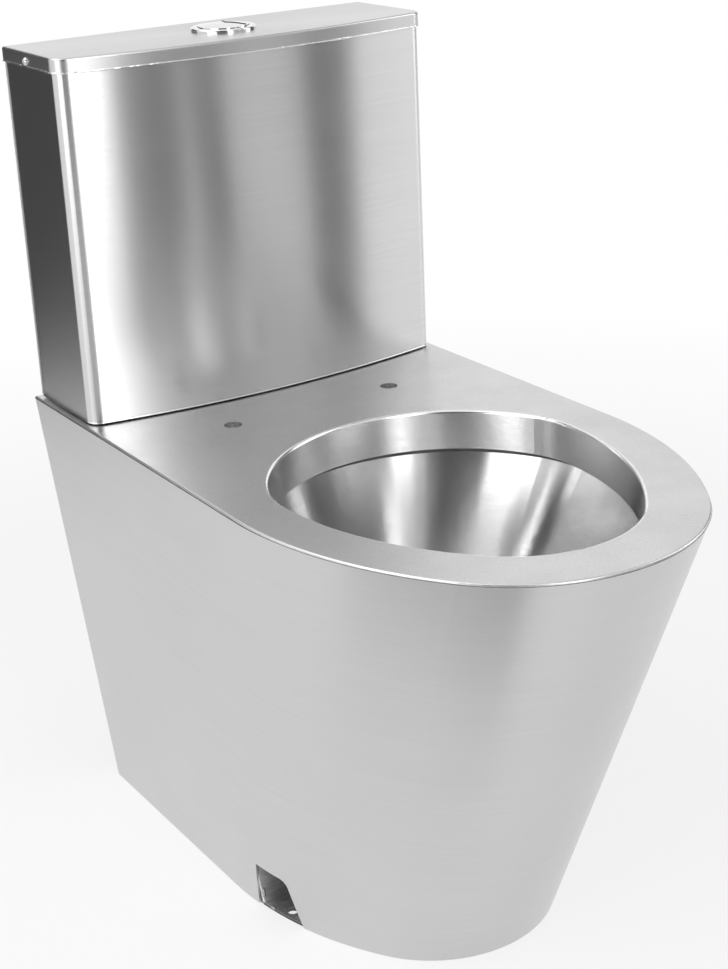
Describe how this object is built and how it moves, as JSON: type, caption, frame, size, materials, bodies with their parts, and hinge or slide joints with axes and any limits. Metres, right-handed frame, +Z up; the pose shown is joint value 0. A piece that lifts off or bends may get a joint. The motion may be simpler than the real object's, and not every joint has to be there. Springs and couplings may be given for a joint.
{
  "type": "compact toilet",
  "caption": "Compact close-coupled toilet in brushed stainless sheet: tapering skirted pan with a conical bowl and trap, and a bow-fronted cistern with a split push-button flush.",
  "frame": {"origin": "on the floor, under the middle of the outline seen from above", "axes": "+Z up, -Y to the front where the user sits, +X to the right for someone facing the toilet"},
  "size_m": [0.352, 0.6, 0.7035],
  "materials": {
    "skirt_steel": "satin, horizontal grain",
    "deck_steel": "satin, random swirl grain",
    "rim_steel": "polished",
    "bowl_steel": "fine satin",
    "sheet_steel": "mill finish",
    "cistern_steel": "satin, horizontal grain",
    "lid_steel": "satin",
    "fastener_steel": "bright",
    "spring_steel": "bright wire",
    "wing_brass": "turned",
    "button_chrome": "polished",
    "valve_plastic": "moulded",
    "float_plastic": "moulded",
    "seal_rubber": "matt"
  },
  "bodies": {
    "pan_and_cistern": {"pan_skirt": "skirt_steel", "pan_deck": "deck_steel", "rim_band": "rim_steel", "bowl_collar": "bowl_steel", "bowl": "bowl_steel", "bowl_sump": "bowl_steel", "trap_inlet_pipe": "sheet_steel", "trap_low_bend": "sheet_steel", "trap_riser": "sheet_steel", "trap_crest_bend": "sheet_steel", "outlet_spigot": "sheet_steel", "flush_duct": "sheet_steel", "foot_brackets": "sheet_steel", "seat_bushes": "sheet_steel", "tank_back": "sheet_steel", "tank_base": "sheet_steel", "tank_wrap": "cistern_steel", "tank_lid": "lid_steel", "lid_screws": "fastener_steel", "lid_nuts": "fastener_steel", "tank_bolts": "fastener_steel", "deck_washers": "fastener_steel", "lever_pins": "fastener_steel", "float_arm_pin": "fastener_steel", "full_flush_spring": "spring_steel", "half_flush_spring": "spring_steel", "wing_nuts": "wing_brass", "button_bezel": "button_chrome", "button_ring_nut": "valve_plastic", "flush_valve_base": "valve_plastic", "flush_valve_nut": "valve_plastic", "flush_valve_cage": "valve_plastic", "fill_valve_body": "valve_plastic", "fill_valve_nut": "valve_plastic", "fill_valve_cap": "float_plastic", "coupling_gasket": "seal_rubber", "tank_bolt_seals": "seal_rubber", "flush_valve_washer": "seal_rubber", "fill_valve_washer": "seal_rubber"},
    "full_button": {"full_flush_button": "button_chrome", "full_flush_rod": "valve_plastic"},
    "half_button": {"half_flush_button": "button_chrome", "half_flush_rod": "valve_plastic"},
    "full_rocker": {"full_lever": "valve_plastic"},
    "half_rocker": {"half_lever": "valve_plastic"},
    "flush_valve_lift": {"overflow_tube": "valve_plastic", "flush_seal": "seal_rubber", "valve_float": "float_plastic", "lift_yoke": "valve_plastic"},
    "half_port_sleeve": {"half_flush_sleeve": "valve_plastic"},
    "float_swing": {"float_arm": "valve_plastic", "fill_float": "float_plastic"}
  },
  "joints": [
    {"name": "full_flush_press", "type": "slide", "parent": "pan_and_cistern", "child": "full_button", "axis": [0, 0, -1], "range_m": [0, 0.006], "stiffness_N_per_m": 300, "springref_m": -0.01, "deforming": ["full_flush_spring"]},
    {"name": "half_flush_press", "type": "slide", "parent": "pan_and_cistern", "child": "half_button", "axis": [0, 0, -1], "range_m": [0, 0.006], "stiffness_N_per_m": 300, "springref_m": -0.01, "deforming": ["half_flush_spring"]},
    {"name": "full_lever_rock", "type": "hinge", "parent": "pan_and_cistern", "child": "full_rocker", "pos_m": [-0.013, 0.241, 0.6082], "axis": [1, 0, 0], "range_deg": [0, 28.65]},
    {"name": "half_lever_rock", "type": "hinge", "parent": "pan_and_cistern", "child": "half_rocker", "pos_m": [0.013, 0.241, 0.6082], "axis": [1, 0, 0], "range_deg": [0, 28.65]},
    {"name": "flush_valve_rise", "type": "slide", "parent": "pan_and_cistern", "child": "flush_valve_lift", "axis": [0, 0, 1], "range_m": [0, 0.008]},
    {"name": "half_sleeve_rise", "type": "slide", "parent": "pan_and_cistern", "child": "half_port_sleeve", "axis": [0, 0, 1], "range_m": [0, 0.008]},
    {"name": "float_arm_swing", "type": "hinge", "parent": "pan_and_cistern", "child": "float_swing", "pos_m": [0.091, 0.233, 0.608], "axis": [0, 1, 0], "range_deg": [0, 22]}
  ],
  "couplings": [
    {"joint": "full_lever_rock", "follows": "full_flush_press", "rad_per_m": 83.333},
    {"joint": "flush_valve_rise", "follows": "full_flush_press", "ratio": 1.3333},
    {"joint": "half_lever_rock", "follows": "half_flush_press", "rad_per_m": 83.333},
    {"joint": "half_sleeve_rise", "follows": "half_flush_press", "ratio": 1.3333}
  ]
}
